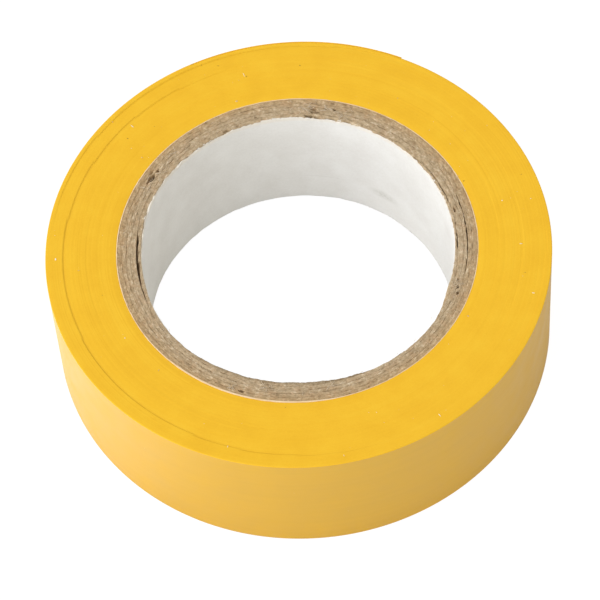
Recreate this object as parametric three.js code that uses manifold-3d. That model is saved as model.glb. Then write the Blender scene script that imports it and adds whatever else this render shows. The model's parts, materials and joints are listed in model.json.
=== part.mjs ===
// Roll of PVC electrical tape on a spiral-wound paper core.
// Millimetres, +Z up along the roll's axis, origin at the centre of the lower face.
//
// The core is built from the inside out: a white paper liner, five plies of kraft board and a
// pale face paper. Each board ply is a strip wound as a helix, so its edges meet in one slanting
// butt seam. The tape is one long strip wound on the core; its free end is a node of its own
// because it peels off the roll.

import * as THREE from 'three';
import { mergeVertices } from 'three/addons/utils/BufferGeometryUtils.js';
import Module from 'manifold-3d';

const wasm = await Module();
wasm.setup();

// ---- driving dimensions ----
const TAPE_WIDTH = 17.6;
const ROLL_DIAMETER = 61.2;
const CORE_DIAMETER = 43.8;
const BORE_DIAMETER = 38;
const WRAP_THICKNESS = 0.145;               // film and adhesive, as wound
const LINER_THICKNESS = 0.15;
const FACE_PAPER_THICKNESS = 0.2;
const LINER_SETBACK = 0.55;                 // the liner's edges stop short of the core's cut faces
const SEAM_GAP = 0.35;                      // between the two edges of a board strip
const SEAM_SLANT_DEG = 38;                  // of a seam, from the roll's axis
const SEAM_ANGLES_DEG = [318, 81, 222, 147, 25]; // where each board ply's seam is, bore outwards
const TAIL_END_DEG = 62;                    // where the strip was cut off, round the roll
const PEEL_LINE_DEG = 112;                  // where the free end leaves the roll
const TAIL_CLEARANCE = 0.03;                // between the free end and the wraps next to it
const RING_SEGMENTS = 96;                   // facets round every ring

// ---- worked out ----
const outermostRadius = (ROLL_DIAMETER + WRAP_THICKNESS) / 2;
const coreRadius = CORE_DIAMETER / 2;
const boreRadius = BORE_DIAMETER / 2;
const linerRadius = boreRadius + LINER_THICKNESS;
const boardRadius = coreRadius - FACE_PAPER_THICKNESS;
const plyThickness = (boardRadius - linerRadius) / SEAM_ANGLES_DEG.length;
const facetAngle = 2 * Math.PI / RING_SEGMENTS;
const tailEndAngle = THREE.MathUtils.degToRad(TAIL_END_DEG);
const peelAngle = THREE.MathUtils.degToRad(PEEL_LINE_DEG);

// ---- materials ----
function plainMaterial(color, roughness) {
  return new THREE.MeshStandardMaterial({ color, roughness, metalness: 0 });
}
const linerPaper = () => plainMaterial(0xe6e5e0, 0.85);
const kraftBoard = () => plainMaterial(0xb49e7f, 0.95);
const facePaper = () => plainMaterial(0xe8cfae, 0.85);
const tapeFilm = () => plainMaterial(0xfac436, 0.45);

// ---- solids ----
function toSolid(geometry) {
  const bare = geometry.clone();
  bare.deleteAttribute('normal');
  bare.deleteAttribute('uv');
  const merged = mergeVertices(bare);
  return new wasm.Manifold(new wasm.Mesh({
    numProp: 3,
    vertProperties: Float32Array.from(merged.attributes.position.array),
    triVerts: Uint32Array.from(merged.index.array),
  }));
}

function toGeometry(solid) {
  const mesh = solid.getMesh();
  const geometry = new THREE.BufferGeometry();
  geometry.setAttribute('position', new THREE.BufferAttribute(mesh.vertProperties, 3));
  geometry.setIndex(new THREE.BufferAttribute(mesh.triVerts, 1));
  geometry.computeVertexNormals();
  return geometry;
}

// ---- geometry ----
// A ring round the Z axis with a rectangular section.
function ringGeometry(innerRadius, outerRadius, bottom, top) {
  const section = [
    new THREE.Vector2(innerRadius, bottom),
    new THREE.Vector2(outerRadius, bottom),
    new THREE.Vector2(outerRadius, top),
    new THREE.Vector2(innerRadius, top),
    new THREE.Vector2(innerRadius, bottom),
  ];
  const ring = new THREE.LatheGeometry(section, RING_SEGMENTS);
  ring.rotateX(Math.PI / 2);
  return ring;
}

// A slanting plate that runs from the axis out through one side of the core.
function seamCutter(angleDeg) {
  const plate = new THREE.BoxGeometry(ROLL_DIAMETER, SEAM_GAP, 2 * TAPE_WIDTH);
  plate.translate(ROLL_DIAMETER / 2, 0, 0);
  plate.rotateX(THREE.MathUtils.degToRad(SEAM_SLANT_DEG));
  plate.translate(0, 0, TAPE_WIDTH / 2);
  plate.rotateZ(THREE.MathUtils.degToRad(angleDeg));
  return plate;
}

// Outer radius of the strip's last turns, at an angle measured back from its cut end.
function wrapRadius(angleFromEnd) {
  return outermostRadius - WRAP_THICKNESS * angleFromEnd / (2 * Math.PI);
}

// Points along the spiral between two angles, about one per facet, a depth below its surface.
function spiralPoints(fromAngle, toAngle, depth) {
  const steps = Math.round((toAngle - fromAngle) / facetAngle);
  const points = [];
  for (let step = 0; step <= steps; step += 1) {
    const angle = fromAngle + (toAngle - fromAngle) * step / steps;
    const radius = wrapRadius(angle - tailEndAngle) - depth;
    points.push(new THREE.Vector2(radius * Math.cos(angle), radius * Math.sin(angle)));
  }
  return points;
}

// The core's outline, in the sense of rotation that a hole needs.
function coreOutline() {
  const points = [];
  for (let facet = 0; facet < RING_SEGMENTS; facet += 1) {
    const angle = -facetAngle * facet;
    points.push(new THREE.Vector2(coreRadius * Math.cos(angle), coreRadius * Math.sin(angle)));
  }
  return new THREE.Path(points);
}

// An outline in the XY plane raised to the tape's full width.
function fullWidthExtrusion(shape) {
  return new THREE.ExtrudeGeometry(shape, { depth: TAPE_WIDTH, bevelEnabled: false, steps: 1 });
}

// ---- pieces ----
function namedMesh(name, geometry, material) {
  const mesh = new THREE.Mesh(geometry, material);
  mesh.name = name;
  return mesh;
}

// White paper that lines the bore.
function boreLiner() {
  const top = TAPE_WIDTH - LINER_SETBACK;
  return namedMesh('bore_liner', ringGeometry(boreRadius, linerRadius, LINER_SETBACK, top), linerPaper());
}

// One ply of kraft board with its slanting seam; ply 0 is next to the liner.
function boardPly(seamAngleDeg, ply) {
  const inner = linerRadius + plyThickness * ply;
  const ring = toSolid(ringGeometry(inner, inner + plyThickness, 0, TAPE_WIDTH));
  const strip = ring.subtract(toSolid(seamCutter(seamAngleDeg)));
  return namedMesh(`core_board_ply_${ply + 1}`, toGeometry(strip), kraftBoard());
}

// Pale paper on the outside of the core, under the first wrap of tape.
function coreFacePaper() {
  return namedMesh('core_face_paper', ringGeometry(boardRadius, coreRadius, 0, TAPE_WIDTH), facePaper());
}

// Every wrap from the core out to the peel line. The outside is a spiral, so it has one step
// as high as a wrap, where the free end begins.
function woundTape() {
  const outline = new THREE.Shape(spiralPoints(peelAngle, peelAngle + 2 * Math.PI, 0));
  outline.holes.push(coreOutline());
  return namedMesh('wound_tape', fullWidthExtrusion(outline), tapeFilm());
}

// The free end of the strip, lying on the wrap under it.
function tapeTail() {
  const rootAngle = peelAngle - TAIL_CLEARANCE / outermostRadius;
  const outside = spiralPoints(tailEndAngle, rootAngle, 0);
  const inside = spiralPoints(tailEndAngle, rootAngle, WRAP_THICKNESS - TAIL_CLEARANCE);
  const outline = new THREE.Shape([...outside, ...inside.reverse()]);
  return namedMesh('tape_tail', fullWidthExtrusion(outline), tapeFilm());
}

const tapeRoll = new THREE.Group();
tapeRoll.add(boreLiner());
tapeRoll.add(...SEAM_ANGLES_DEG.map(boardPly));
tapeRoll.add(coreFacePaper());
tapeRoll.add(woundTape());
tapeRoll.add(tapeTail());

export default tapeRoll;
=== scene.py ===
"""Looks of the electrical tape roll: a wound strip with a free end, on a spiral-wound board core.

Lengths in this script are millimetres and angles are degrees, turned into metres and radians where
a mesh is made. Angles run counter-clockwise from +X, seen from above.
"""

import json
import math

import bpy
import numpy as np
from mathutils import Matrix, Vector


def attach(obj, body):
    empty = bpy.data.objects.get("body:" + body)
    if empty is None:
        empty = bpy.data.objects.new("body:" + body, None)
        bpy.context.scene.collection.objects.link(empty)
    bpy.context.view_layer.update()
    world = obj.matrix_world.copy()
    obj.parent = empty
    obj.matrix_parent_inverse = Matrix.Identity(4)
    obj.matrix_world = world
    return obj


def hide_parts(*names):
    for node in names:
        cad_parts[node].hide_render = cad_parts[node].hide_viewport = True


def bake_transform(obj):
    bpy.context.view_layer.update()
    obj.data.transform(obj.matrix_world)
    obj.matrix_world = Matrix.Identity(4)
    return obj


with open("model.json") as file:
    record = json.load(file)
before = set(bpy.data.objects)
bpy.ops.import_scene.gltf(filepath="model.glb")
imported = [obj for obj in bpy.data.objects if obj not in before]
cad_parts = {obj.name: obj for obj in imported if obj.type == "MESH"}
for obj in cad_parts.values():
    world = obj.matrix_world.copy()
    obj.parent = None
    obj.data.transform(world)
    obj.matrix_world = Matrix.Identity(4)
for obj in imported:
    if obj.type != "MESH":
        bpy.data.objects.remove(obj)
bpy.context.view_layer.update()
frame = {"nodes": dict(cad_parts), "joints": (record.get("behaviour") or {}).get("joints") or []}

MM = 0.001
UP = Vector((0, 0, 1))


# ---- sizes read from the frame ----

def ring_size(node):
    """Inner radius, outer radius, bottom and top of a ring-shaped CAD node, in millimetres."""
    points = np.array([v.co for v in frame["nodes"][node].data.vertices]) / MM
    radii = np.hypot(points[:, 0], points[:, 1])
    return radii.min(), radii.max(), points[:, 2].min(), points[:, 2].max()


BOARD_RADIUS, CORE_RADIUS, _, WIDTH = ring_size("core_face_paper")
BORE_RADIUS, LINER_RADIUS, _, _ = ring_size("bore_liner")
PLIES = sorted(n for n in frame["nodes"] if n.startswith("core_board_ply_"))
PLY_THICKNESS = (BOARD_RADIUS - LINER_RADIUS) / len(PLIES)
PEEL_JOINT = frame["joints"][0]
PEEL_X, PEEL_Y, _ = (value / MM for value in PEEL_JOINT["pos_m"])
PEEL_ANGLE = math.degrees(math.atan2(PEEL_Y, PEEL_X))
PEEL_RADIUS = math.hypot(PEEL_X, PEEL_Y)
TAIL_POINTS = np.array([v.co for v in frame["nodes"]["tape_tail"].data.vertices]) / MM
TAIL_END_ANGLE = float(np.degrees(np.arctan2(TAIL_POINTS[:, 1], TAIL_POINTS[:, 0])).min())

# ---- the wound strip ----
WRAPS = 60
WRAP = (PEEL_RADIUS - CORE_RADIUS) / WRAPS
STEPS_PER_TURN = 360                # points along the wound strip in each turn
TAIL_STEPS = 110                    # points along the free end
WRAP_GROOVE = 0.012                 # depth of the line between two wraps
RIM_DROP = 0.09                     # how far the outermost wrap's edge is rounded down
WEDGE_DROP = 0.07                   # how low the strip's first turn starts against the core
KNIFE_PITCH = 2.76                  # how far the slitting knife moved in each turn
KNIFE_STEP = 0.085                  # height of its step where it is strongest
KNIFE_GROOVE = 0.042                # how much deeper the strip's edge is torn along it
# The pack leans: its outermost wraps lie this far off centre at the lower and the upper face.
LEAN_LOW = 0.26
LEAN_HIGH = 0.18
LEAN_ANGLE = 8
SWELL = 0.06                        # how much wider the pack is than its wraps add up to
FLARE = 0.12                        # how much wider it is again at its lower face
FILM_UNEVENNESS = 0.006             # of the film's outside
# Heights of the points on the strip's outside, closer together at its edges.
WALL_LEVELS = (0.16, 0.30, 0.7, 2.0, 4.5, 8.8, 13.1, 15.6, 16.9, 17.3, 17.44)
# The knife mark's last turn and a half on a face: angle from +X and radius.
KNIFE_LINE = ((0, 27.20), (75, 27.50), (135, 28.12), (180, 28.46), (235, 28.56), (270, 28.95),
              (300, 29.42), (360, 29.96), (420, 30.05), (485, 29.90), (530, 30.12))


# ---- noise and curves ----

def eased(part):
    """0 to 1 turned into 0 to 1 with a gentle start and end."""
    return part * part * (3 - 2 * part)


def smooth_noise(rng, count, cells):
    """Smooth noise from -1 to 1 at count places round a closed circle, with that many cells."""
    values = rng.uniform(-1, 1, cells)
    at = np.arange(count) * cells / count
    low = np.floor(at).astype(int)
    ease = eased(at - low)
    return values[low % cells] * (1 - ease) + values[(low + 1) % cells] * ease


def grid_noise(rng, shape, cells):
    """Smooth noise from -1 to 1 on a grid whose first axis closes on itself."""
    values = rng.uniform(-1, 1, (cells[0], cells[1] + 2))
    rows = np.arange(shape[0]) * cells[0] / shape[0]
    columns = np.arange(shape[1]) * cells[1] / max(1, shape[1] - 1)
    row, column = np.floor(rows).astype(int), np.floor(columns).astype(int)
    row_ease, column_ease = eased(rows - row)[:, None], eased(columns - column)
    across = values[:, column] * (1 - column_ease) + values[:, column + 1] * column_ease
    return across[row] * (1 - row_ease) + across[(row + 1) % cells[0]] * row_ease


def smoothstep(low, high, value):
    return eased(np.clip((value - low) / (high - low), 0, 1))


def angle_gap(angle, centre):
    """Signed distance in degrees from centre to angle, the short way round."""
    return (angle - centre + 180) % 360 - 180


def arc_window(angle, start, end, fade):
    """1 between two angles, 0 outside them, fading over fade degrees at each end."""
    half = ((end - start) % 360) / 2
    gap = np.abs(angle_gap(angle, start + half))
    return 1 - smoothstep(half - fade, half + fade, gap)


# ---- meshes ----

def polar_point(angle, radius, height):
    turn = math.radians(angle)
    return Vector((radius * math.cos(turn), radius * math.sin(turn), height))


def level_axes(turn):
    """Two level directions: one at an angle in radians, and one a quarter turn on from it."""
    ahead = Vector((math.cos(turn), math.sin(turn), 0))
    return ahead, UP.cross(ahead)


def make_object(name, points_mm, faces, materials, smooth=True):
    mesh = bpy.data.meshes.new(name)
    mesh.from_pydata((np.asarray(points_mm) * MM).tolist(), [], faces)
    for material in materials:
        mesh.materials.append(material)
    mesh.polygons.foreach_set("use_smooth", [smooth] * len(mesh.polygons))
    mesh.update()
    piece = bpy.data.objects.new(name, mesh)
    bpy.context.scene.collection.objects.link(piece)
    return piece


def torus_faces(around, section):
    """Quads of a grid that closes on itself both ways."""
    faces = []
    for i in range(around):
        j = (i + 1) % around
        for p in range(section):
            q = (p + 1) % section
            faces.append((i * section + p, i * section + q, j * section + q, j * section + p))
    return faces


def ring_object(name, radius, height, materials):
    """A closed ring from radius and height grids: first axis round the roll, second round the section."""
    around, section = radius.shape
    angle = np.radians(np.arange(around) * 360 / around)[:, None]
    points = np.stack([radius * np.cos(angle), radius * np.sin(angle), height], -1).reshape(-1, 3)
    return make_object(name, points, torus_faces(around, section), materials)


# ---- material helpers ----

def node(tree, kind, values=(), **settings):
    """A new shader node: settings are its properties, values its input values by index or name."""
    made = tree.nodes.new(kind)
    for key, value in settings.items():
        setattr(made, key, value)
    for key, value in dict(values).items():
        if isinstance(value, bpy.types.NodeSocket):
            tree.links.new(value, made.inputs[key])
        else:
            made.inputs[key].default_value = value
    return made


def math_node(tree, operation, first, second=0.0, third=0.0):
    made = node(tree, "ShaderNodeMath", {0: first, 1: second, 2: third}, operation=operation)
    return made.outputs[0]


def weighted_sum(tree, *terms):
    """The sum of values times their weights, from (value, weight) pairs."""
    total = 0.0
    for value, weight in terms:
        total = math_node(tree, "MULTIPLY_ADD", value, weight, total)
    return total


def new_material(name, roughness, specular):
    material = bpy.data.materials.new(name)
    material.use_nodes = True
    shader = material.node_tree.nodes["Principled BSDF"]
    shader.inputs["Roughness"].default_value = roughness
    shader.inputs["Specular IOR Level"].default_value = specular
    return material, material.node_tree, shader


def feed(shader, name, value):
    shader.id_data.links.new(value, shader.inputs[name])


def vector_node(tree, operation, first, second=(0, 0, 0), output="Vector"):
    made = node(tree, "ShaderNodeVectorMath", {0: first, 1: second}, operation=operation)
    return made.outputs[output]


def vector_length(tree, vector):
    return vector_node(tree, "LENGTH", vector, output="Value")


def position(tree):
    """The surface point in millimetres."""
    place = node(tree, "ShaderNodeTexCoord").outputs["Object"]
    return vector_node(tree, "MULTIPLY", place, (1 / MM,) * 3)


def coordinate(tree, place, axis):
    """One coordinate of a point: axis is 0, 1 or 2."""
    return node(tree, "ShaderNodeSeparateXYZ", {0: place}).outputs[axis]


def flat_position(tree):
    """The surface point in millimetres, seen from above."""
    return vector_node(tree, "MULTIPLY", position(tree), (1, 1, 0))


def distance_out(tree):
    """Distance from the roll's axis in millimetres."""
    return vector_length(tree, flat_position(tree))


def polar_position(tree, length, depth):
    """Coordinates for noise drawn out round the roll; length and depth are a feature's size."""
    outward = vector_node(tree, "NORMALIZE", flat_position(tree))
    round_part = vector_node(tree, "MULTIPLY", outward, (CORE_RADIUS / length,) * 3)
    layer = math_node(tree, "DIVIDE", distance_out(tree), depth)
    depth_part = node(tree, "ShaderNodeCombineXYZ", {2: layer}).outputs[0]
    return vector_node(tree, "ADD", round_part, depth_part)


def noise_value(tree, place, scale=1.0, detail=2.0, roughness=0.5):
    values = {"Vector": place, "Scale": scale, "Detail": detail, "Roughness": roughness}
    return node(tree, "ShaderNodeTexNoise", values).outputs["Fac"]


def ramp(tree, value, stops):
    """A colour ramp; stops are (place, colour) pairs."""
    made = node(tree, "ShaderNodeValToRGB", {0: value})
    elements = made.color_ramp.elements
    while len(elements) < len(stops):
        elements.new(0.5)
    for element, (place, colour) in zip(elements, stops):
        element.position = place
        element.color = (*colour, 1)
    return made.outputs[0]


def mix_colour(tree, share, first, second, blend="MIX"):
    colours = {0: share, 6: first, 7: (*second, 1)}
    made = node(tree, "ShaderNodeMix", colours, data_type="RGBA", blend_type=blend)
    return made.outputs[2]


def tint(tree, share, colour, by):
    """The colour multiplied by another, as far as share says."""
    return mix_colour(tree, share, colour, by, blend="MULTIPLY")


def map_range(tree, value, low, high, new_low, new_high):
    made = node(tree, "ShaderNodeMapRange", {0: value, 1: low, 2: high, 3: new_low, 4: new_high})
    return made.outputs[0]


def bump(tree, shader, height, distance_mm, strength=1.0):
    values = {"Height": height, "Distance": distance_mm * MM, "Strength": strength}
    feed(shader, "Normal", node(tree, "ShaderNodeBump", values).outputs[0])


# ---- materials ----

def slit_face_material():
    """The knife-cut ends of the wound film: matt, deep yellow, with faint lines round the roll."""
    material, tree, shader = new_material("tape_slit_face", 0.62, 0.22)
    wraps = noise_value(tree, polar_position(tree, 24.0, 0.16), detail=3.0)
    bands = noise_value(tree, polar_position(tree, 60.0, 1.3), detail=1.0)
    mottle = noise_value(tree, position(tree), scale=0.35, detail=3.0)
    grain = noise_value(tree, position(tree), scale=6.0, detail=2.0)
    tone = weighted_sum(tree, (bands, 0.20), (wraps, 0.18), (mottle, 0.38), (grain, 0.24))
    colour = ramp(tree, tone, ((0.38, (0.88, 0.492, 0.018)), (0.50, (0.91, 0.522, 0.022)),
                               (0.62, (0.93, 0.552, 0.028))))
    feed(shader, "Base Color", colour)
    feed(shader, "Roughness", map_range(tree, mottle, 0.3, 0.7, 0.55, 0.70))
    height = math_node(tree, "MULTIPLY_ADD", grain, 0.5, wraps)
    bump(tree, shader, height, 0.006, 0.4)
    return material


def film_material(name, colours, roughness, specular):
    """The flat sides of the film; it follows the strip, so it bends with it."""
    material, tree, shader = new_material(name, roughness, specular)
    strip = node(tree, "ShaderNodeAttribute", attribute_name="strip_mm").outputs["Vector"]
    stretched = vector_node(tree, "MULTIPLY", strip, (0.06, 1.6, 1.0))
    lines = noise_value(tree, stretched, detail=2.0)
    patches = noise_value(tree, strip, scale=0.22, detail=2.0)
    skin = noise_value(tree, strip, scale=5.0, detail=2.0)
    tone = weighted_sum(tree, (patches, 0.6), (lines, 0.4))
    colour = ramp(tree, tone, ((0.32, colours[0]), (0.68, colours[1])))
    feed(shader, "Base Color", colour)
    feed(shader, "Roughness", map_range(tree, patches, 0.3, 0.7, roughness - 0.05, roughness + 0.06))
    height = math_node(tree, "MULTIPLY_ADD", skin, 0.35, lines)
    bump(tree, shader, height, 0.012, 0.35)
    return material


def board_material():
    """Recycled kraft board: matted fibres, browner near the tape, with painted shade along the bore's edge
    in front.
    """
    material, tree, shader = new_material("kraft_board", 0.95, 0.12)
    place = position(tree)
    fibres = noise_value(tree, polar_position(tree, 0.50, 0.20), detail=3.0, roughness=0.65)
    specks = noise_value(tree, place, scale=3.6, detail=4.0, roughness=0.72)
    patches = noise_value(tree, polar_position(tree, 1.1, 0.45), detail=3.0)
    tone = weighted_sum(tree, (specks, 0.36), (fibres, 0.34), (patches, 0.30))
    colour = ramp(tree, tone, ((0.33, (0.175, 0.120, 0.060)), (0.42, (0.400, 0.295, 0.176)),
                               (0.54, (0.545, 0.418, 0.266)), (0.66, (0.810, 0.700, 0.525))))
    near_tape = map_range(tree, distance_out(tree), CORE_RADIUS - 1.6, CORE_RADIUS - 0.3, 0.0, 1.0)
    colour = tint(tree, near_tape, colour, (0.96, 0.88, 0.76))
    clumps = noise_value(tree, place, scale=1.3, detail=2.0)
    pinkish = map_range(tree, clumps, 0.50, 0.62, 0.0, 0.5)
    colour = tint(tree, pinkish, colour, (1.04, 0.95, 0.90))
    # painted shade: the board is darkened along its inner edge at the front, where the rounded edge falls
    # into shadow
    near_bore = map_range(tree, distance_out(tree), LINER_RADIUS, LINER_RADIUS + 0.42, 1.0, 0.0)
    in_front = map_range(tree, coordinate(tree, place, 1), -9, -14, 0.0, 0.85)
    painted_bore_edge_shade = math_node(tree, "MULTIPLY", near_bore, in_front)
    colour = tint(tree, painted_bore_edge_shade, colour, (0.52, 0.50, 0.46))
    feed(shader, "Base Color", colour)
    height = math_node(tree, "MULTIPLY_ADD", specks, 0.6, fibres)
    bump(tree, shader, height, 0.05, 0.7)
    return material


def face_paper_material():
    """Pale peach paper, seen as a thin cut edge between the board and the tape."""
    material, tree, shader = new_material("face_paper", 0.85, 0.2)
    fibres = noise_value(tree, polar_position(tree, 1.6, 0.1), detail=2.0)
    colour = ramp(tree, fibres, ((0.30, (0.80, 0.56, 0.30)), (0.70, (0.95, 0.76, 0.50))))
    feed(shader, "Base Color", colour)
    bump(tree, shader, fibres, 0.03, 0.6)
    return material


def blot(tree, place, angle, height_mm, half_length, half_height):
    """1 at a spot on the bore's wall, falling to 0 at its edge; the spot is an ellipse."""
    away = vector_node(tree, "SUBTRACT", place, polar_point(angle, BORE_RADIUS, height_mm))
    scaled = vector_node(tree, "MULTIPLY", away, (1 / half_length, 1 / half_length, 1 / half_height))
    return map_range(tree, vector_length(tree, scaled), 0.2, 1.0, 1.0, 0.0)


def liner_paper_material():
    """White paper with painted warm bounce light on its shaded left side, cream at its edge, with a rubbed
    mark and a scuffed line.
    """
    material, tree, shader = new_material("liner_paper", 0.75, 0.3)
    place = position(tree)
    cloud = noise_value(tree, place, scale=0.30, detail=3.0)
    fibres = noise_value(tree, place, scale=3.2, detail=3.0, roughness=0.6)
    tone = weighted_sum(tree, (fibres, 0.4), (cloud, 0.6))
    paper = ramp(tree, tone, ((0.35, (0.800, 0.785, 0.755)), (0.65, (0.870, 0.862, 0.840))))
    rubbed = map_range(tree, fibres, 0.35, 0.60, 0.05, 0.40)
    mark = math_node(tree, "MULTIPLY", blot(tree, place, 53, 4.45, 2.6, 1.0), rubbed)
    paper = mix_colour(tree, mark, paper, (0.38, 0.37, 0.30))
    line = math_node(tree, "MULTIPLY", blot(tree, place, 78, 4.75, 3.6, 0.07), 0.16)
    paper = mix_colour(tree, line, paper, (0.36, 0.34, 0.30))
    # painted warm bounce light: the paper is tinted warmer towards -X, where the bore's wall is in shade
    painted_warm_bounce = map_range(tree, coordinate(tree, place, 0), -BORE_RADIUS, 8, 1.0, 0.0)
    paper = tint(tree, painted_warm_bounce, paper, (1.0, 0.985, 0.935))
    edge = map_range(tree, coordinate(tree, place, 2), WIDTH - 0.9, WIDTH - 0.4, 0.0, 1.0)
    paper = tint(tree, edge, paper, (1.0, 0.955, 0.89))
    feed(shader, "Base Color", paper)
    bump(tree, shader, fibres, 0.02, 0.5)
    return material


def fleck_material(name, dark, light, roughness):
    material, tree, shader = new_material(name, roughness, 0.3)
    mottle = noise_value(tree, position(tree), scale=8.0, detail=2.0)
    feed(shader, "Base Color", ramp(tree, mottle, ((0.3, dark), (0.7, light))))
    bump(tree, shader, mottle, 0.02, 0.6)
    return material


SLIT_FACE = slit_face_material()
FILM = film_material("tape_film", ((0.66, 0.370, 0.007), (0.70, 0.395, 0.011)), 0.36, 0.66)
ADHESIVE = film_material("tape_adhesive", ((0.78, 0.42, 0.03), (0.84, 0.47, 0.04)), 0.22, 0.6)
BOARD = board_material()
FACE_PAPER = face_paper_material()
LINER = liner_paper_material()
PALE_FLECK = fleck_material("pale_fleck", (0.80, 0.70, 0.50), (0.95, 0.92, 0.84), 0.6)
DARK_FLECK = fleck_material("dark_fleck", (0.20, 0.12, 0.02), (0.46, 0.27, 0.05), 0.8)
DUSTY_FLECK = fleck_material("dusty_fleck", (0.62, 0.40, 0.15), (0.80, 0.56, 0.28), 0.9)
FIBRE = fleck_material("board_fibre", (0.55, 0.43, 0.29), (0.86, 0.75, 0.58), 0.95)


# ---- the wound tape ----

def leaned(points):
    """Points of the wound strip moved as the pack leans and flares, more for each wrap outwards."""
    radius = np.hypot(points[:, 0], points[:, 1])
    share = (radius - CORE_RADIUS) / (PEEL_RADIUS - CORE_RADIUS)
    lowness = 1 - points[:, 2] / WIDTH
    shift = share * (LEAN_HIGH + (LEAN_LOW - LEAN_HIGH) * lowness)
    direction = polar_point(LEAN_ANGLE, 1, 0)
    outward = points * (1, 1, 0) / radius[:, None]
    wider = share * (SWELL + FLARE * lowness)
    return points + shift[:, None] * np.array(direction) + wider[:, None] * outward


def knife_lines(angle):
    """The turns of the knife's spiral mark, outermost first: radius and strength at each angle."""
    angles, radii = zip(*KNIFE_LINE)
    last_turn = np.interp(angle, angles, radii)
    yield np.interp(angle + 360, angles, radii), 0.80 * arc_window(angle, 60, 165, 12)
    yield last_turn, 0.16 + 0.74 * arc_window(angle, 105, 270, 35)
    yield last_turn - KNIFE_PITCH, 0.10 + 0.16 * arc_window(angle, 300, 30, 30)
    yield last_turn - 2 * KNIFE_PITCH, 0.05 + 0.06 * arc_window(angle, 110, 180, 30)


def slit_relief(angle, radius, turned_by, rng):
    """How far each wrap's cut edge lies below the face, for wraps given in order along the strip.

    The knife went in as the roll turned, so its mark is a spiral with a step up on its outer side.
    The step follows the edge of one wrap, then jumps to the next.
    """
    # the wraps end unevenly, and lower beside the core and at the rim
    drop = 0.004 * (1 + smooth_noise(rng, len(angle), WRAPS * 9))
    drop += 0.006 * (1 + smooth_noise(rng, len(angle), WRAPS * 2))
    drop += 0.050 * smoothstep(CORE_RADIUS + 0.7, CORE_RADIUS, radius)
    drop += 0.020 * smoothstep(PEEL_RADIUS - 0.5, PEEL_RADIUS, radius)
    for line, strength in knife_lines((angle - turned_by) % 360):
        inside = (line - radius) / KNIFE_PITCH
        drop += KNIFE_STEP * strength * np.where((inside > 0) & (inside < 1), (1 - inside) ** 3, 0)
    return drop


def face_grid(turned_by, seed):
    """Points of one slit face: rows of grooves and crests that follow the strip inwards, then the core."""
    rng = np.random.default_rng(seed)
    steps = np.arange(WRAPS * STEPS_PER_TURN + 1)
    angle = PEEL_ANGLE + 360 * steps / STEPS_PER_TURN
    groove_radius = PEEL_RADIUS - WRAP * steps / STEPS_PER_TURN
    crest_count = (WRAPS - 1) * STEPS_PER_TURN + 1
    crest_radius = groove_radius[:crest_count] - WRAP / 2
    crest_drop = slit_relief(angle[:crest_count], crest_radius, turned_by, rng)
    inner = np.append(crest_drop, np.full(STEPS_PER_TURN, crest_drop[-1]))
    outer = np.append(crest_drop[:STEPS_PER_TURN], crest_drop)[:len(steps)]
    step = np.abs(inner - outer)
    groove_drop = np.maximum(inner, outer) + WRAP_GROOVE + KNIFE_GROOVE * smoothstep(0.02, 0.08, step)
    groove_drop[:STEPS_PER_TURN + 1] = RIM_DROP
    wedge = np.ones(STEPS_PER_TURN - 1)
    angle = np.concatenate([angle, angle[:crest_count], angle[1:STEPS_PER_TURN]])
    radius = np.concatenate([groove_radius, crest_radius, wedge * CORE_RADIUS])
    drop = np.concatenate([groove_drop, crest_drop, wedge * WEDGE_DROP])
    return np.radians(angle), radius, drop


def face_polygons():
    """Polygons of a slit face, facing up, as indices into face_grid's points."""
    turn = STEPS_PER_TURN
    last = WRAPS * turn
    crest = last + 1
    wedge = crest + (WRAPS - 1) * turn
    inner_turn = last - turn
    polygons = []
    for g in range(inner_turn):
        polygons.append((g, g + 1, crest + g + 1, crest + g))
        polygons.append((crest + g, crest + g + 1, g + 1 + turn, g + turn))
    polygons.append((inner_turn, inner_turn + 1, wedge + 1, last, crest + inner_turn))
    for i in range(1, turn - 1):
        polygons.append((inner_turn + i, inner_turn + i + 1, wedge + i + 1, wedge + i))
    polygons.append((last - 1, last, wedge + turn - 1))
    return polygons


def strip_coordinates(piece, along, across):
    """Stores each point's place on the unrolled strip for the film's material."""
    attribute = piece.data.attributes.new("strip_mm", "FLOAT_VECTOR", "POINT")
    values = np.stack([along, across, np.zeros(len(along))], -1)
    attribute.data.foreach_set("vector", values.astype(np.float32).ravel())


def wall_grid(levels):
    """Angle and radius of the outside's points at each level, from the peel line once round."""
    steps = np.arange(STEPS_PER_TURN + 1)
    angle = np.radians(PEEL_ANGLE + 360 * steps / STEPS_PER_TURN)
    unevenness = 1 + grid_noise(np.random.default_rng(13), (len(steps), len(levels)), (26, 4))
    radius = (PEEL_RADIUS - WRAP * steps / STEPS_PER_TURN)[:, None] - FILM_UNEVENNESS * unevenness
    return np.repeat(angle, len(levels)), radius.ravel()


def wall_polygons(face_points, level_count):
    """Polygons that join two slit faces of face_points each: the outside, its step and the inside."""
    turn = STEPS_PER_TURN
    crest = WRAPS * turn + 1

    def column(step):
        first = 2 * face_points + step * level_count
        return [step, *range(first, first + level_count), face_points + step]

    polygons = []
    for step in range(turn):
        here, there = column(step), column(step + 1)
        for j in range(len(here) - 1):
            polygons.append((here[j], here[j + 1], there[j + 1], there[j]))
    outer, inner = column(0), column(turn)
    polygons.append((outer[0], crest, inner[0], inner[1], outer[1]))
    for j in range(1, len(outer) - 2):
        polygons.append((outer[j], inner[j], inner[j + 1], outer[j + 1]))
    polygons.append((outer[-2], inner[-2], inner[-1], face_points + crest, outer[-1]))
    wedge = crest + (WRAPS - 1) * turn
    circle = [WRAPS * turn, *range(wedge + 1, wedge + turn)]
    for here, there in zip(circle, circle[1:] + circle[:1]):
        polygons.append((here, there, face_points + there, face_points + here))
    return polygons


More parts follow.
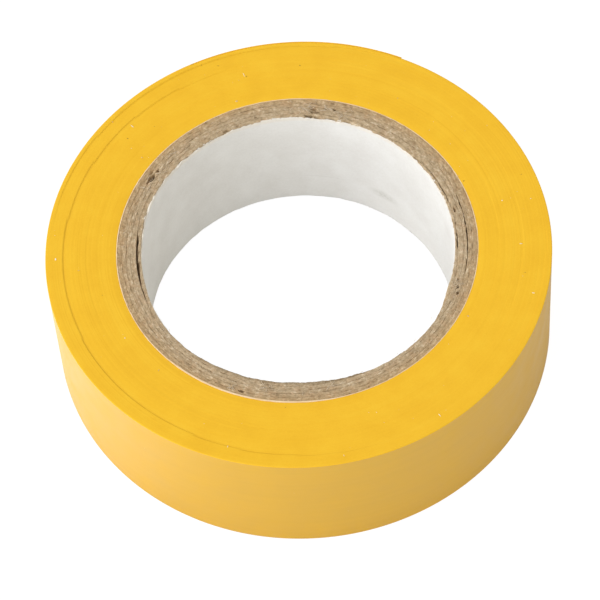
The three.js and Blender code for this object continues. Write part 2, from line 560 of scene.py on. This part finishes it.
def wound_tape():
    """Every wrap from the core to the peel line, as one closed solid with both faces in relief."""
    levels = np.array(WALL_LEVELS)
    top_angle, top_radius, top_drop = face_grid(turned_by=0, seed=11)
    low_angle, low_radius, low_drop = face_grid(turned_by=150, seed=12)
    wall_angle, wall_radius = wall_grid(levels)
    angle = np.concatenate([top_angle, low_angle, wall_angle])
    radius = np.concatenate([top_radius, low_radius, wall_radius])
    height = np.concatenate([WIDTH - top_drop, low_drop, np.tile(levels[::-1], STEPS_PER_TURN + 1)])
    points = leaned(np.stack([radius * np.cos(angle), radius * np.sin(angle), height], -1))

    face_points = len(top_radius)
    upper = face_polygons()
    lower = [tuple(face_points + i for i in reversed(polygon)) for polygon in upper]
    walls = wall_polygons(face_points, len(levels))
    piece = make_object("wound_tape_pack", points, upper + lower + walls, [SLIT_FACE, FILM])
    slots = np.repeat([0, 1], [len(upper) + len(lower), len(walls)])
    piece.data.polygons.foreach_set("material_index", slots)
    strip_coordinates(piece, angle * PEEL_RADIUS, height)
    return piece


# ---- the free end ----

def tail_section():
    """Heights and depths of the points round the film's section: up its outside, down its inside."""
    levels = np.array(sorted([*WALL_LEVELS, 0.09, 6.6, 11.0, 17.51]))
    outside = np.zeros(len(levels))
    height = np.concatenate([levels, [WIDTH - 0.02], levels[::-1], [0.02]])
    depth = np.concatenate([outside, [WRAP / 2], outside + WRAP - 0.012, [WRAP / 2]])
    return height, depth


def tail_slots(section):
    """Which side of the film each quad of one length step is on: 0 outside, 1 inside, 2 a cut edge."""
    row = np.arange(section)
    top, bottom = section // 2 - 1, section - 1
    inside = (row > top) & (row < bottom)
    cut = np.isin(row, (top - 1, top, bottom - 1, bottom))
    return np.where(cut, 2, inside)


def tape_tail():
    """The strip's free end, from its cut to the peel line."""
    rng = np.random.default_rng(21)
    height, depth = tail_section()
    section = len(height)
    share = np.linspace(0, 1, TAIL_STEPS)[:, None] ** 1.5
    turned = (TAIL_END_ANGLE - PEEL_ANGLE) * (1 - share)
    from_end = (turned - turned[0]) / 360 * 2 * math.pi * PEEL_RADIUS
    cut = 0.10 * grid_noise(rng, (2, section), (2, 11))[0] + 0.35 * (height / WIDTH - 0.5)
    at_cut = smoothstep(1.2, 0, from_end)
    angle = np.radians(PEEL_ANGLE + turned) - at_cut * cut / PEEL_RADIUS
    low_corner = smoothstep(11, 1, height)
    lift = 0.015 * smoothstep(2.6, 0, from_end) + 0.36 * smoothstep(3.4, 0, from_end) * low_corner
    radius = PEEL_RADIUS - WRAP * turned / 360 - depth + lift
    radius -= FILM_UNEVENNESS * (1 + grid_noise(rng, (TAIL_STEPS, section), (5, 4)))
    height = np.repeat(height[None, :], TAIL_STEPS, 0)
    points = leaned(np.stack([radius * np.cos(angle), radius * np.sin(angle), height], -1).reshape(-1, 3))
    faces = []
    for i in range(TAIL_STEPS - 1):
        for p in range(section):
            q = (p + 1) % section
            faces.append((i * section + p, (i + 1) * section + p, (i + 1) * section + q, i * section + q))
    faces.append(tuple(range(section)))
    faces.append(tuple((TAIL_STEPS - 1) * section + p for p in reversed(range(section))))
    piece = make_object("tape_free_end", points, faces, [FILM, ADHESIVE, SLIT_FACE])
    slots = np.append(np.tile(tail_slots(section), TAIL_STEPS - 1), [2, 2])
    piece.data.polygons.foreach_set("material_index", slots)
    strip_coordinates(piece, angle.ravel() * PEEL_RADIUS, height.ravel())
    return piece


# ---- the core ----

# Breaks in the core's upper edge: angle, radius, length round the roll, width and depth.
PITS = ((146.3, 20.66, 1, 0.42, 2.4), (148.5, 20.8, 0.45, 0.16, 0.6), (142.7, 20.6, 0.28, 0.24, 1.6),
        (144.3, 21.15, 0.65, 0.36, 0.3), (81.9, 19.32, 1.05, 0.3, 2.4), (80, 19.94, 0.9, 0.26, 1.8),
        (80.7, 20.4, 0.8, 0.4, 0.45), (73.3, 20.61, 0.32, 0.28, 0.8), (74.4, 21.46, 0.42, 0.14, 0.6),
        (78.6, 20.98, 0.55, 0.16, 0.3), (79.2, 19.24, 0.6, 0.24, 0.7), (73.8, 19.22, 1.6, 0.26, 0.6),
        (67.5, 19.2, 1.3, 0.22, 0.45), (101.5, 19.85, 0.22, 0.16, 1), (109, 19.4, 0.6, 0.26, 0.35),
        (113.5, 19.35, 0.7, 0.3, 0.5), (134.4, 19.22, 0.8, 0.18, 0.5), (145.3, 19.24, 0.5, 0.16, 0.4),
        (36.5, 19.25, 0.8, 0.28, 0.5), (248.5, 21.2, 0.52, 0.26, 1), (258.5, 20, 0.7, 0.3, 0.16),
        (272, 19.95, 0.7, 0.24, 0.12), (338.5, 20.3, 0.42, 0.2, 1), (336.2, 20.5, 0.5, 0.24, 1),
        (341.2, 20, 0.4, 0.18, 0.6), (10.5, 19.75, 0.6, 0.22, 0.5), (124, 21.55, 0.5, 0.26, 0.2))
# Where fibres have been pulled out of the board and lie in a tangle: angle and radius.
TANGLES = ((81.3, 20.95), (74.3, 20.32), (69.6, 19.95), (84.0, 20.25), (150.2, 20.50), (141.6, 20.25),
           (245.8, 21.30), (255.6, 20.05), (278.0, 20.10), (214.5, 19.65), (338.0, 20.00), (134.2, 20.75))
# Plies that have come apart: boundary, counted from the bore, start and end angle, width and depth.
SPLITS = ((1, 171, 191, 0.27, 1.0), (1, 191, 198, 0.12, 0.7), (3, 356, 17, 0.085, 0.9),
          (3, 346, 356, 0.11, 1.0), (1, 352, 3, 0.09, 0.8), (1, 14, 36, 0.09, 0.8),
          (2, 212, 236, 0.04, 0.4), (4, 96, 108, 0.04, 0.4), (2, 128, 141, 0.05, 0.5),
          (4, 300, 322, 0.03, 0.3), (2, 40, 66, 0.035, 0.4), (3, 262, 290, 0.03, 0.3))
# At the front the innermost ply and the liner are torn down: where it starts, is full, and ends.
TORN_START, TORN_FULL, TORN_END = 264, 322, 338
TORN_DEPTH = 1.7
LINER_MARGIN = 0.05                 # keeps the liner's waves out of the CAD's bore
SINK = 0.02                         # how far liner, face paper and dust reach into what they lie on
AROUND_CORE = 1440                  # points round each ring of the core
PLY_ROWS = 10                       # points across a ply's cut end
SEAMS = (318, 81, 222, 147, 25)     # where each ply's edges meet, from the bore outwards
SEAM_WIDTH = 0.45                   # in degrees
SEAM_DROP = 0.12
EDGE_DROP = 0.035                   # how much lower a ply's inner and outer edge are worn


def ring_angles():
    """The angle of each column of points round a ring of the core."""
    return np.arange(AROUND_CORE) * 360 / AROUND_CORE


def split_size(boundary, angle):
    """Width and depth of the gap where the plies have come apart at a boundary."""
    gap_width, gap_depth = np.zeros(len(angle)), np.zeros(len(angle))
    for where, start, end, width, depth in SPLITS:
        if where == boundary:
            window = arc_window(angle, start, end, 2.5)
            gap_width += width * window
            gap_depth += depth * window
    return gap_width, gap_depth


def paper_edge_width(angle):
    """How much of the face paper's thickness shows between the board and the tape."""
    return 0.065 + 0.03 * arc_window(angle, 140, 216, 8) + 0.125 * arc_window(angle, 222, 274, 6)


def torn_share(angle):
    return smoothstep(TORN_START, TORN_FULL, angle) * smoothstep(TORN_END, TORN_END - 9, angle)


def bulge(angle):
    """How far the innermost ply and the liner stand into the bore at its upper edge."""
    return 0.24 * arc_window(angle, 166, 196, 9) - 0.14 * arc_window(angle, 207, 232, 8)


def ply_radius(boundary, angle):
    """Where one ply meets the next, counted from the bore; the innermost one is rubbed thin in places."""
    radius = np.full(len(angle), LINER_RADIUS + PLY_THICKNESS * boundary)
    if boundary == 1:
        radius -= 0.15 * arc_window(angle, 166, 203, 5) + 0.22 * arc_window(angle, 345, 60, 8)
        radius += 0.12 * arc_window(angle, 300, 329, 6)
    return radius


def ring_section(rows):
    """For each point round a section: its share of the way out, whether at the top, whether on a wall."""
    across = np.linspace(0, 1, rows)
    share = np.concatenate([across, [1, 1], across[::-1], [0, 0]])
    top = np.concatenate([np.full(rows + 1, True), np.full(rows + 2, False), [True]])
    wall = np.concatenate([np.full(rows, False), [True] * 2, np.full(rows, False), [True] * 2])
    return share, top, wall


def ring_heights(top, wall, top_drop, low_drop, corner):
    """Heights of a ring's points: the walls start a corner's height from the cut faces."""
    height = np.where(top, WIDTH - top_drop, low_drop)
    return height + np.where(wall, np.where(top, -corner, corner), 0)


def pit_drop(angle, radius, rough):
    """How deep the breaks in the core's upper edge are at each point; rough makes their rims uneven."""
    drop = np.zeros(radius.shape)
    for pit_angle, pit_radius, length, width, depth in PITS:
        along = np.radians(angle_gap(angle, pit_angle))[:, None] * pit_radius / (length / 2)
        across = (radius - pit_radius) / (width / 2)
        away = np.hypot(along, across) * (1 + 3 * rough)
        drop += depth * np.exp(-away ** 4)
    return drop


def ply_gap(index, angle, rng):
    """How far a ply's upper edge draws back from the next ply, unevenly, and how deep the gap is."""
    gap_width, gap_depth = split_size(index + 1, angle)
    uneven = smooth_noise(np.random.default_rng(80 + index), AROUND_CORE, 230)
    shift = gap_width * (1 + 0.35 * smooth_noise(rng, AROUND_CORE, 160))
    return np.clip(shift + 0.055 * uneven * (gap_width > 0.005), 0, None), gap_depth


def cut_roughness(rng, shape):
    """Coarse to fine unevenness of a ply's cut ends."""
    rough = 0.050 * grid_noise(rng, shape, (150, 5)) + 0.045 * grid_noise(rng, shape, (420, 9))
    return rough + 0.030 * grid_noise(rng, shape, (900, 16))


def board_ply(index):
    """One ply of the core: its cut ends are fibrous, pitted and parted from the next ply in places."""
    innermost = index == 0
    rng = np.random.default_rng(40 + index)
    angle = ring_angles()
    inner = ply_radius(index, angle)
    outer = ply_radius(index + 1, angle)
    if index == len(PLIES) - 1:
        outer = CORE_RADIUS - paper_edge_width(angle)
    share, top, wall = ring_section(PLY_ROWS)
    shape = (AROUND_CORE, len(share))
    radius = inner[:, None] + (outer - inner)[:, None] * share

    gap_shift, gap_depth = ply_gap(index, angle, rng)
    radius -= gap_shift[:, None] * np.where(top & ~wall, share ** 2, 0)
    if innermost:
        radius -= bulge(angle)[:, None] * np.where(top, 1 - share, 0)

    frayed = 0.030 * grid_noise(rng, shape, (320, 9)) + 0.025 * grid_noise(rng, shape, (720, 14))
    frayed_share = 0.8 - 0.45 * arc_window(angle, 203, 300, 8) if innermost else np.full(AROUND_CORE, 0.3)
    radius += frayed * frayed_share[:, None]

    rough = cut_roughness(rng, shape)
    seam = np.exp(-(angle_gap(angle, SEAMS[index]) / SEAM_WIDTH) ** 2)[:, None]
    worn_edge = (share > 0.93) | (share < 0.07)
    drop = 0.06 + np.maximum(rough, -0.055) + SEAM_DROP * seam + EDGE_DROP * worn_edge
    top_drop = drop + pit_drop(angle, radius, rough)
    if innermost:
        torn = torn_share(angle) * (TORN_DEPTH + 0.25 * smooth_noise(rng, AROUND_CORE, 60))
        top_drop += torn[:, None]
    height = ring_heights(top, wall, top_drop, drop, corner=0.10)
    height[:, PLY_ROWS] -= gap_depth    # the top of the outer wall, where the gap is deepest
    return ring_object(f"board_ply_{index + 1}", radius, height, [BOARD])


def face_paper_ring():
    """The pale paper between the board and the tape, a little proud of the board at the front."""
    rng = np.random.default_rng(61)
    angle = ring_angles()
    inner = CORE_RADIUS - paper_edge_width(angle)
    outer = CORE_RADIUS + SINK
    share, top, wall = ring_section(4)
    radius = inner[:, None] + (outer - inner)[:, None] * share
    radius += 0.012 * grid_noise(rng, radius.shape, (240, 3))
    rough = 0.02 * grid_noise(rng, radius.shape, (300, 4))
    proud = arc_window(angle, 205, 285, 12)[:, None]
    drop = np.maximum(0.045 - 0.04 * proud + rough, 0.002)
    height = ring_heights(top, wall, drop, drop, corner=0.08)
    return ring_object("face_paper_edge", radius, height, [FACE_PAPER])


def ragged_share(angle):
    """1 where the liner's upper edge is thick and ragged; elsewhere it is feathered to almost nothing."""
    return arc_window(angle, 131, 178, 5)


def liner_levels(rng, angle, levels):
    """Heights of the liner's points: its edges stop a little short of the core's, unevenly."""
    setback = 0.24 + 0.10 * smooth_noise(rng, AROUND_CORE, 110)
    setback += 0.07 * smooth_noise(rng, AROUND_CORE, 460)
    setback += 0.22 * arc_window(angle, 345, 38, 6) + 0.10 * arc_window(angle, 64, 84, 4)
    setback -= 0.16 * arc_window(angle, 86, 100, 2.5) + 0.10 * ragged_share(angle)
    setback = np.clip(setback, 0.03, None) + torn_share(angle) * (TORN_DEPTH + 0.1)
    low_setback = 0.12 + 0.05 * (1 + smooth_noise(rng, AROUND_CORE, 120))
    top = WIDTH - setback
    return low_setback[:, None] + (top - low_setback)[:, None] * levels


def liner_tube():
    """The bore's paper, with a torn upper edge that stands away from the board on the left."""
    rng = np.random.default_rng(71)
    angle = ring_angles()
    levels = np.concatenate([[0, 0.006, 0.02, 0.05], np.linspace(0.1, 0.9, 15), [0.95, 0.98, 0.993, 1]])
    height = liner_levels(rng, angle, levels)
    wave = 0.035 * grid_noise(rng, height.shape, (26, 4))
    wave += 0.012 * grid_noise(rng, height.shape, (120, 10))
    overlap = 0.07 * arc_window(angle, 262, 281, 0.5)[:, None]
    straight = BORE_RADIUS + LINER_MARGIN + wave - overlap - bulge(angle)[:, None] * levels
    curl = 0.06 * smooth_noise(rng, AROUND_CORE, 240)
    curl -= ragged_share(angle) * np.clip(0.05 + 0.17 * smooth_noise(rng, AROUND_CORE, 150), 0, None)
    thickness = LINER_RADIUS + SINK - BORE_RADIUS - LINER_MARGIN
    thinned = 0.8 * thickness * (1 - ragged_share(angle))[:, None] * smoothstep(0.993, 1, levels)
    inner = straight + curl[:, None] * smoothstep(0.972, 0.993, levels)
    radius = np.concatenate([inner + thinned, (straight + thickness)[:, ::-1]], 1)
    height = np.concatenate([height, height[:, ::-1]], 1)
    return ring_object("bore_liner_paper", radius, height, [LINER])


# ---- small things on the surface ----

def chip(points, faces, centre, along, normal, size, rng):
    """Adds one thin irregular chip: an outline round its centre, a raised middle and a flat back."""
    length, width, thickness = size
    across = normal.cross(along)
    corners = 9
    first = len(points)
    for layer in (0.0, 1.0):
        for k in range(corners):
            turn = 2 * math.pi * k / corners
            reach = 0.5 * rng.uniform(0.75, 1.1)
            edge = along * (length * reach * math.cos(turn)) + across * (width * reach * math.sin(turn))
            points.append(centre + edge * (1.0 - 0.25 * layer) + normal * (thickness * layer))
    points.append(centre + normal * thickness * 1.3)
    for k in range(corners):
        j = (k + 1) % corners
        faces.append((first + k, first + j, first + corners + j, first + corners + k))
        faces.append((first + corners + k, first + corners + j, first + 2 * corners))
    faces.append(tuple(first + k for k in reversed(range(corners))))


# Marks on the upper slit face: angle, radius, length outwards, width and how it turns.
PALE_MARKS = ((135, 27.45, 0.55, 0.1, 0), (341.6, 29.02, 0.42, 0.1, 0), (355.6, 26.9, 0.4, 0.12, 5),
              (9.8, 25.58, 0.22, 0.16, 0), (178.9, 29.35, 0.22, 0.42, 0), (250, 28.78, 0.3, 0.1, 0),
              (276.8, 29.6, 0.3, 0.09, 8), (301, 29.1, 0.55, 0.09, -6), (101.2, 26.55, 0.85, 0.07, 8),
              (8.6, 28.92, 0.2, 0.1, 0), (208, 24.05, 0.18, 0.16, 0), (288, 25.2, 0.14, 0.1, 20))
DARK_MARKS = ((85.9, 26.92, 0.2, 0.13, 30), (16, 28.92, 0.16, 0.1, 20), (20.1, 22.25, 0.2, 0.12, 0),
              (138.7, 26.64, 0.26, 0.1, 15), (100.6, 26.2, 0.34, 0.08, -12), (131, 25.35, 0.16, 0.08, 10),
              (106.8, 28.95, 0.13, 0.09, 0), (110.5, 29.9, 0.1, 0.1, 0), (347, 27.6, 0.18, 0.08, 0),
              (192, 24.3, 0.1, 0.09, 0), (263, 22.6, 0.16, 0.09, 0))
DUSTY_MARKS = ((182.8, 26.58, 0.34, 0.1, 0), (105.7, 22.95, 0.3, 0.45, 0), (222.8, 23.7, 0.34, 0.1, 12),
               (141.4, 23.4, 0.3, 0.12, 0), (329.2, 22.88, 0.34, 0.2, 0), (56.4, 24.9, 0.26, 0.1, 0),
               (137.2, 29.8, 0.3, 0.1, 0), (103, 25.9, 0.2, 0.07, 25))
MARK_THICKNESS = 0.045
MARK_SINK = 0.035                   # how far a mark is sunk into the face
DUST_SINK = 0.018                   # the same for dust on the slit faces


def marks(name, rows, material, seed):
    """Specks and nicks lying on the upper slit face."""
    rng = np.random.default_rng(seed)
    points, faces = [], []
    for angle, radius, length, width, twist in rows:
        along, _ = level_axes(math.radians(angle + twist))
        centre = polar_point(angle, radius, WIDTH - MARK_SINK)
        chip(points, faces, centre, along, UP, (length, width, MARK_THICKNESS), rng)
    return make_object(name, leaned(np.array(points)), faces, [material])


def scattered_dust(name, count, material, seed):
    """Fine dust, scattered over both slit faces and the outside of the roll."""
    rng = np.random.default_rng(seed)
    points, faces = [], []
    for _ in range(count):
        angle, place = rng.uniform(0, 360), rng.uniform()
        length = rng.uniform(0.04, 0.10)
        twist = rng.uniform(0, 2 * math.pi)
        size = (length, length * rng.uniform(0.4, 0.9), 0.02)
        if place < 0.75:
            normal, level = (UP, WIDTH - DUST_SINK) if place < 0.5 else (-UP, DUST_SINK)
            along, _ = level_axes(twist)
            centre = polar_point(angle, rng.uniform(CORE_RADIUS + 0.8, PEEL_RADIUS - 0.8), level)
        else:
            normal, round_way = level_axes(math.radians(angle))
            along = round_way * math.cos(twist) + UP * math.sin(twist)
            film_radius = PEEL_RADIUS - WRAP * ((angle - PEEL_ANGLE) % 360) / 360
            centre = normal * (film_radius - SINK) + UP * rng.uniform(1, WIDTH - 1)
        chip(points, faces, centre, along, normal, size, rng)
    return make_object(name, leaned(np.array(points)), faces, [material])


# Where torn bits of the liner stand up along its upper edge: start and end angle, and how many.
SHRED_ARCS = ((86, 101, 16), (118, 128, 8), (133, 170, 26), (170, 200, 6), (5, 80, 14), (340, 352, 3))


def paper_shreds():
    """Torn bits of the liner that stand up or fold over the board along its upper edge."""
    rng = np.random.default_rng(91)
    points, faces = [], []
    for angle in [rng.uniform(start, end) for start, end, count in SHRED_ARCS for _ in range(count)]:
        outward, round_way = level_axes(math.radians(angle))
        lean = rng.uniform(0.1, 1.1)
        rising = outward * math.sin(lean) + UP * math.cos(lean)
        centre = outward * (BORE_RADIUS + 0.14) + UP * (WIDTH - rng.uniform(0.10, 0.30))
        size = (rng.uniform(0.10, 0.22), rng.uniform(0.20, 0.55), 0.03)
        chip(points, faces, centre, rising, rising.cross(round_way), size, rng)
    return make_object("liner_shreds", points, faces, [LINER])


def bent_tube(points, faces, place, heading, bend, length, thick, up):
    """Adds one fibre: a short bent tube, arched away from the face it lies on (up is 1 or -1)."""
    rings = 7
    first = len(points)
    for k in range(rings):
        ahead, side = level_axes(heading + bend * k / rings)
        arch = UP * (up * (0.04 + thick) * math.sin(math.pi * k / (rings - 1)))
        taper = thick * (0.5 if k in (0, rings - 1) else 1.0)
        for corner in range(3):
            around = 2 * math.pi * corner / 3
            across = side * (taper * math.cos(around)) + UP * (taper * math.sin(around))
            points.append(place + arch + across)
        place = place + ahead * (length / rings)
    for k in range(rings - 1):
        for corner in range(3):
            after = (corner + 1) % 3
            a, b = first + 3 * k, first + 3 * (k + 1)
            faces.append((a + corner, a + after, b + after, b + corner))
    faces.append((first + 2, first + 1, first))
    last = first + 3 * (rings - 1)
    faces.append((last, last + 1, last + 2))


def board_fibres(count, seed):
    """Loose fibres on the core's cut ends: single ones all round, thicker ones in tangles."""
    rng = np.random.default_rng(seed)
    points, faces = [], []
    for _ in range(count):
        up = 1 if rng.uniform() < 0.6 else -1
        angle = rng.uniform(0, 360)
        radius = rng.uniform(LINER_RADIUS + 0.2, BOARD_RADIUS - 0.1)
        place = polar_point(angle, radius, WIDTH - 0.045 if up > 0 else 0.045)
        heading = math.radians(angle + 90) + rng.normal(0, 0.6)
        bent_tube(points, faces, place, heading, rng.normal(0, 0.9), rng.uniform(0.25, 0.75),
                  rng.uniform(0.010, 0.024), up)
    for angle, radius in TANGLES:
        for _ in range(8):
            place = polar_point(angle + rng.normal(0, 1.3), radius + rng.normal(0, 0.16), WIDTH - 0.06)
            heading = math.radians(angle + 90) + rng.normal(0, 0.8) + math.pi * rng.integers(0, 2)
            bent_tube(points, faces, place, heading, rng.normal(0, 1.6), rng.uniform(0.45, 1.1),
                      rng.uniform(0.020, 0.040), 1)
    return make_object("board_fibres", points, faces, [FIBRE])


# ---- the object, put together ----

def ride_piece(piece, body, slot, *nodes):
    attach(piece, body)
    if nodes:
        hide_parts(*nodes)


def build_roll():
    ride_piece(wound_tape(), "roll", "tape_film", "wound_tape")
    for index, ply in enumerate(PLIES):
        ride_piece(board_ply(index), "roll", "kraft_board", ply)
    ride_piece(face_paper_ring(), "roll", "face_paper", "core_face_paper")
    ride_piece(liner_tube(), "roll", "liner_paper", "bore_liner")
    ride_piece(paper_shreds(), "roll", "liner_paper")
    ride_piece(board_fibres(380, 95), "roll", "kraft_board")
    ride_piece(marks("pale_marks", PALE_MARKS, PALE_FLECK, 101), "roll", "tape_film")
    ride_piece(marks("dark_marks", DARK_MARKS, DARK_FLECK, 102), "roll", "tape_film")
    ride_piece(marks("dusty_marks", DUSTY_MARKS, DUSTY_FLECK, 103), "roll", "tape_film")
    ride_piece(scattered_dust("dust", 80, PALE_FLECK, 104), "roll", "tape_film")
    tail = tape_tail()
    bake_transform(tail)
    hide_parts("tape_tail")


build_roll()


# ---- floor, light and camera ----

STAGE_REACH = 3000


def flat_plane(name, level, material):
    corners = [(x * STAGE_REACH, y * STAGE_REACH, level) for x, y in ((-1, -1), (1, -1), (1, 1), (-1, 1))]
    plane = make_object(name, corners, [(0, 1, 2, 3)], [material], smooth=False)
    return plane


def bounce_table():
    """The table that light bounces off, brighter on the left and in the bore; the camera can't see it."""
    material, tree, shader = new_material("table", 0.9, 0.1)
    shader.inputs["Base Color"].default_value = (0.86, 0.86, 0.86, 1)
    shader.inputs["Emission Color"].default_value = (1, 1, 1, 1)
    left_card = map_range(tree, coordinate(tree, position(tree), 0), -40, -18, 0.52, 0.0)
    from_spot = vector_length(tree, vector_node(tree, "SUBTRACT", position(tree), (9, 6, 0)))
    spot = map_range(tree, from_spot, 5, 11, 0.42, 0.0)
    glow = math_node(tree, "MAXIMUM", left_card, spot)
    feed(shader, "Emission Strength", glow)
    table = flat_plane("table", -0.02, material)
    table.visible_camera = False


def white_floor():
    """A floor white enough to show only a trace of the roll's shadow."""
    material, _, shader = new_material("floor", 0.9, 0.0)
    shader.inputs["Base Color"].default_value = (0.14, 0.14, 0.14, 1)
    shader.inputs["Emission Color"].default_value = (1, 1, 1, 1)
    shader.inputs["Emission Strength"].default_value = 0.93
    floor = flat_plane("floor", -0.01, material)
    floor.visible_diffuse = False
    floor.visible_glossy = False
    floor.visible_transmission = False
    floor.visible_shadow = False


def softbox(name, place_mm, side_mm, radiance):
    """A square area light that looks at the roll; radiance is its brightness per unit of area."""
    light = bpy.data.lights.new(name, "AREA")
    light.shape = "SQUARE"
    light.size = side_mm * MM
    light.energy = radiance * math.pi * light.size ** 2
    lamp = bpy.data.objects.new(name, light)
    lamp.location = Vector(place_mm) * MM
    lamp.rotation_euler = lamp.location.to_track_quat("Z", "Y").to_euler()
    lamp.visible_camera = False
    bpy.context.scene.collection.objects.link(lamp)


def studio_world():
    """Soft light from all round, with a wide bright side on the left."""
    world = bpy.data.worlds.new("studio")
    bpy.context.scene.world = world
    world.use_nodes = True
    tree = world.node_tree
    direction = node(tree, "ShaderNodeTexCoord").outputs["Generated"]
    towards_left = vector_node(tree, "DOT_PRODUCT", direction, (-0.94, -0.34, 0), output="Value")
    brightness = map_range(tree, towards_left, 0.0, 1.0, 0.72, 2.00)
    background = tree.nodes["Background"]
    background.inputs["Color"].default_value = (1, 1, 1, 1)
    feed(background, "Strength", brightness)


CAMERA_ELEVATION = 58.31
CAMERA_DISTANCE = 388.6
CAMERA_YAW = 0.016
CAMERA_UP_TILT = 0.408
CAMERA_ROLL = 4.18
CAMERA_LENS = 185.46
CAMERA_SENSOR = 36.0


def camera():
    """Looks down at the roll's middle, turned, tilted up and rolled by the angles above."""
    elevation = math.radians(CAMERA_ELEVATION)
    place = Vector((0, -math.cos(elevation), math.sin(elevation))) * CAMERA_DISTANCE * MM
    forward = -place.normalized()
    right = Vector((1, 0, 0))
    yaw = Matrix.Rotation(math.radians(CAMERA_YAW), 3, right.cross(forward))
    forward, right = yaw @ forward, yaw @ right
    tilt = Matrix.Rotation(math.radians(CAMERA_UP_TILT), 3, right)
    forward = tilt @ forward
    up = right.cross(forward)
    turn = Matrix.Rotation(math.radians(CAMERA_ROLL), 3, forward)
    right, up = turn @ right, turn @ up
    data = bpy.data.cameras.new("camera")
    data.sensor_width = CAMERA_SENSOR
    data.lens = CAMERA_LENS
    data.clip_start = 10 * MM
    made = bpy.data.objects.new("camera", data)
    made.matrix_world = Matrix((right, up, -forward)).transposed().to_4x4()
    made.location = place
    bpy.context.scene.collection.objects.link(made)
    bpy.context.scene.camera = made


bounce_table()
white_floor()
softbox("key_left", (-520, -240, 160), 300, 1.2)
studio_world()
camera()
bpy.context.scene.view_settings.view_transform = "Standard"
